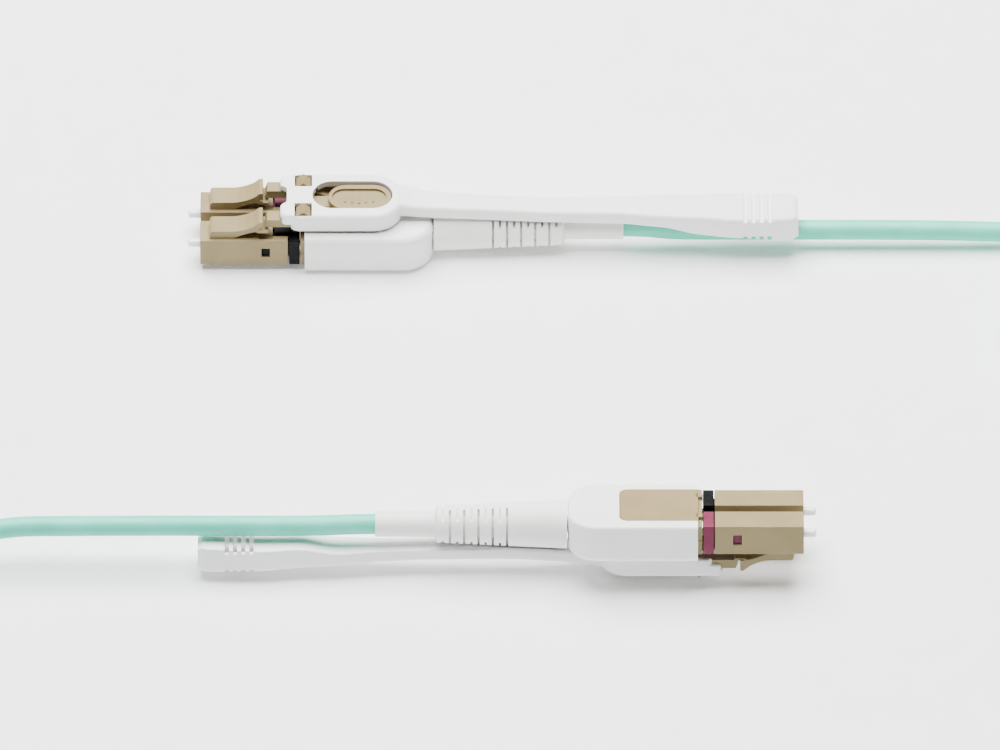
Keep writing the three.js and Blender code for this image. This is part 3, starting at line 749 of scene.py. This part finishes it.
# The strap as (x, half width), and for each connector as (x, height of its top, thickness)
STRAP_HALF = [
    (-42.8, 2.6), (-41.6, 3.05), (-34, 3.25), (-28.6, 2.8), (-23, 2.65), (-17, 2.1), (-9, 2.0), (0, 1.9),
    (9, 2.1), (14, 2.2), (16, 2.2),
]
STRAP_LINE = {
    "a": [
        (-42.8, 3.9, 3.3), (-42.2, 4.3, 4.0), (-34, 4.3, 3.5), (-28.6, 4.4, 3.3), (-23, 4.5, 2.1),
        (-17, 4.6, 2.0), (-8.6, 4.62, 1.9), (0, 4.98, 1.95), (10, 5.65, 1.9), (12.9, 5.97, 1.9),
        (14, 6.3, 2.2), (16, 6.3, 2.0),
    ],
    "b": [
        (-42.8, 6.3, 3.3), (-42.2, 6.65, 4.0), (-34, 6.45, 3.5), (-28.6, 6.2, 3.3), (-23, 5.9, 2.2),
        (-17, 5.6, 2.0), (-8.6, 5.3, 1.9), (0, 5.27, 2.0), (10, 5.65, 1.9), (12.9, 5.97, 1.9),
        (14, 6.3, 2.2), (16, 6.3, 2.0),
    ],
}
# Where rings stand along the strap: close together at its round rear end, and evenly from there on
STRAP_STATIONS = [-42.8, -42.68, -42.45, -42.1] + [-41.5 + 57.5 * k / 92 for k in range(93)]
# Height of the cable's centre under the grip of each tab
CABLE_HEIGHT = {"a": -0.3, "b": 0.6}
# Grooves of the grip: front of the first one, spacing, number and width
GRIP_FIRST, GRIP_PITCH, GRIP_COUNT, GRIP_WIDTH = -34.9, 1.16, 4, 0.6
# How far below the top of the strap a groove, a notch in the sides and the floor of a pocket lie
GRIP_DEPTH, GRIP_NOTCH, GRIP_FLOOR = 0.5, 3.05, 1.8


def slope_at(table, k, column):
    """The slope of the smooth line at a row, which is flat at the ends and where the line turns back."""
    if k in (0, len(table) - 1):
        return 0.0
    before = (table[k][column] - table[k - 1][column]) / (table[k][0] - table[k - 1][0])
    after = (table[k + 1][column] - table[k][column]) / (table[k + 1][0] - table[k][0])
    return 0.0 if before * after <= 0 else 2 * before * after / (before + after)


def along(table, x, column=1):
    """The value at x of a smooth line through a table's rows, with no overshoot between them."""
    last = len(table) - 2
    i = next((k for k in range(last) if x <= table[k + 1][0]), last)
    left, right = table[i], table[i + 1]
    span = right[0] - left[0]
    t = min(max((x - left[0]) / span, 0), 1)
    start, end = slope_at(table, i, column), slope_at(table, i + 1, column)
    return ((2 * t ** 3 - 3 * t ** 2 + 1) * left[column] + (t ** 3 - 2 * t ** 2 + t) * span * start
            + (3 * t ** 2 - 2 * t ** 3) * right[column] + (t ** 3 - t ** 2) * span * end)


def make_strap(side):
    bm = bmesh.new()
    rings = []
    for x in STRAP_STATIONS:
        half = along(STRAP_HALF, x)
        top = along(STRAP_LINE[side], x, 1)
        low = top - along(STRAP_LINE[side], x, 2)
        section = rounded([(half, low, 0.3), (half, top, 0.75), (-half, top, 0.75), (-half, low, 0.3)])
        rings.append([bm.verts.new((x, y, z)) for y, z in section])
    close_tube(bm, rings)
    return from_bmesh("strap", bm)


def grip_grooves(side):
    """Grooves across the outer face of the grip, and pockets in its inner face that notch its sides."""
    grooves = []
    for k in range(GRIP_COUNT):
        x = GRIP_FIRST - k * GRIP_PITCH
        top = along(STRAP_LINE[side], x, 1)
        grooves += [block(x - GRIP_WIDTH, x, -5, 5, top - GRIP_DEPTH, top + 2),
                    join(block(x - GRIP_WIDTH, x, -5, 5, -5, top - GRIP_NOTCH),
                         block(x - GRIP_WIDTH, x, -2.5, 2.5, -5, top - GRIP_FLOOR))]
    return cluster(*grooves)


def make_tab_head():
    """A soft-edged ring with two round knuckles in front and a shallow bay between them."""
    shoulder, bay, past_front = TAB_FRONT - 1.2, TAB_FRONT - 0.95, TAB_FRONT + 1
    nose_rear, nose_half, nose_corner, rear_corner = 27.0, 4.5, 1.0, 4.2
    head = prism(rounded([
        (TAB_REAR, -TAB_HALF, rear_corner), (shoulder, -TAB_HALF, 1.6), (shoulder, 0),
        (shoulder, TAB_HALF, 1.6), (TAB_REAR, TAB_HALF, rear_corner),
    ], 10), "z", TAB_BOTTOM, TAB_TOP)
    round_rim(head, TAB_TOP, 0.85, 6)
    round_rim(head, TAB_BOTTOM, 0.3, 3)
    nose = prism(rounded([
        (nose_rear, -nose_half), (TAB_FRONT, -nose_half, nose_corner), (TAB_FRONT, nose_half, nose_corner),
        (nose_rear, nose_half),
    ], 8), "z", 4.4, TAB_TOP - 0.02)
    soften(nose, 0.45, segments=4, angle=50)
    room = prism(rounded([
        (bay, -1.5, 0.5), (bay, 1.5, 0.5), (past_front, 2.9), (past_front, -2.9),
    ]), "z", 2, 8)
    return cut(join(head, nose), room)


def make_pull_tab(side):
    tab = join(make_strap(side), make_tab_head())
    windows = []
    for y in CHANNELS.values():
        inner, outer = sorted((math.copysign(1.6, y), math.copysign(4.3, y)))
        windows += [block(WINDOW_REAR, WINDOW_FRONT, y - 1.3, y + 1.3, 4.5, 8),
                    block(26.1, 30.2, inner, outer, 5, 6.0)]
    boot_room = lathe([
        (SLEEVE_REAR - 3, 0), (SLEEVE_REAR - 3, 2.2), (BOOT_REAR - 1.2, 2.2),
        (BOOT_REAR - 1, BOOT_REAR_RADIUS + 0.3), (BOOT_FRONT + 3, BOOT_FRONT_RADIUS + 0.4),
        (BOOT_FRONT + 3, 0),
    ], 0, BOOT_AXIS, 64)
    tab = cut(
        tab,
        prism(rear_rounded(TAB_REAR + 1.2, TAB_FRONT + 1, 4.15, 3.7), "z", TAB_BOTTOM - 1, 5.5),
        prism(stadium(15.4, 26.9, 2.9), "z", 0, 10),
        *windows,
        boot_room,
        rod(-46, -22, CABLE_DIAMETER / 2 + 0.22, 0, CABLE_HEIGHT[side]),
    )
    soften(tab, 0.12)
    tab = cut(tab, grip_grooves(side))
    soften(tab, 0.05)
    settle(tab, "pull_tab", side, "white_plastic", f"tab_{side}")


# ---------------------------------------------------------------- tie, kept nodes and set

def make_tie():
    """A woven wrap round the turns of the coil, with its free end lapped over."""
    clearance, thickness, width, bottom = 0.35, 0.35, 4.0, 0.04
    half, top = 1.5 * CABLE_DIAMETER + clearance, COIL_BOTTOM + 2 * CABLE_DIAMETER + clearance
    outer_half, outer_top = half + thickness, top + thickness
    outer = rounded([
        (-outer_half, bottom, 1.2), (outer_half, bottom, 1.2), (outer_half, outer_top, 1.6),
        (-outer_half, outer_top, 1.6),
    ], 8)
    inner = rounded([
        (-half, bottom + thickness, 0.9), (half, bottom + thickness, 0.9), (half, top, 1.3),
        (-half, top, 1.3),
    ], 8)
    lap_start, lap_end, lap_low, lap_high = -0.5, half - 0.9, outer_top - 0.02, outer_top + thickness
    lap = rounded([
        (lap_start, lap_low), (lap_end, lap_low), (lap_end, lap_high, 0.15), (lap_start, lap_high, 0.15),
    ])
    tie = join(cut(prism(outer, "y", -width / 2, width / 2), prism(inner, "y", -width, width)),
               prism(lap, "y", -width / 2 + 0.1, width / 2 - 0.1))
    soften(tie, 0.08)
    to_coil = Matrix.Translation((COIL_X, COIL_Y, 0)) @ Matrix.Rotation(math.radians(TIE_ANGLE), 4, "Z")
    to_turns = Matrix.Translation((COIL_RADIUS, 0, 0))
    tie.name = tie.data.name = "woven_tie"
    tie.data.transform(Matrix.Scale(MM, 4) @ to_coil @ to_turns)
    tie.data.materials.append(MATERIALS["tie_fabric"])
    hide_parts("cord_tie")
    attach(tie, "root")
    return tie


def finish_kept_nodes():
    """Gives each CAD node that stays the material of its slot."""
    slots = {row["node"]: row["material_slot"] for row in frame["record"]["subparts"]}
    kept = [f"{name}_{side}" for side in PLACE for name in ("crimp_body", "crimp_ring", "trigger_pin")]
    kept += [f"{name}_{hand}_{side}" for side in PLACE for hand in CHANNELS for name in ("flange", "fibre")]
    for name in kept:
        for place in frame["nodes"][name].material_slots:
            place.link = "OBJECT"
            place.material = MATERIALS[slots[name]]


def area_light(name, size, energy, place):
    """A square light that faces the origin."""
    data = bpy.data.lights.new(name, "AREA")
    data.size = size
    data.energy = energy
    light = bpy.data.objects.new(name, data)
    bpy.context.scene.collection.objects.link(light)
    light.location = place
    light.rotation_euler = (-Vector(place)).to_track_quat("-Z", "Y").to_euler()


def make_set():
    reach, thickness = 2, 0.01
    corners = [(-reach, -reach), (reach, -reach), (reach, reach), (-reach, reach)]
    floor = prism(corners, "z", -thickness, 0.0, "floor")
    paper = moulded("floor_paper", "#f7f7f7", "#fafafa", (0.8, 0.9), 600, 0.01)
    glow = paper.node_tree.nodes["Principled BSDF"]
    glow.inputs["Emission Color"].default_value = (1, 1, 1, 1)
    glow.inputs["Emission Strength"].default_value = FLOOR_GLOW
    floor.data.materials.append(paper)
    area_light("overhead", 0.9, LIGHT_OVERHEAD, (-0.05, 0.26, 0.87))
    area_light("front_fill", 0.8, LIGHT_FRONT, (0.2, -0.9, 0.5))
    sky = bpy.data.worlds.new("studio")
    sky.use_nodes = True
    sky.node_tree.nodes["Background"].inputs["Color"].default_value = (1, 1, 1, 1)
    sky.node_tree.nodes["Background"].inputs["Strength"].default_value = LIGHT_SKY
    bpy.context.scene.world = sky


make_camera()
make_cord(make_tie())
for side in PLACE:
    make_shell(side)
    make_body(side)
    make_boot(side)
    make_trigger(side)
    make_pull_tab(side)
    for hand, y in CHANNELS.items():
        make_housing(side, hand, y)
        make_latch(side, hand, y)
        make_core(side, hand, y)
        make_ferrule(side, hand, y)
        make_spring(side, hand, y)
finish_kept_nodes()
make_set()
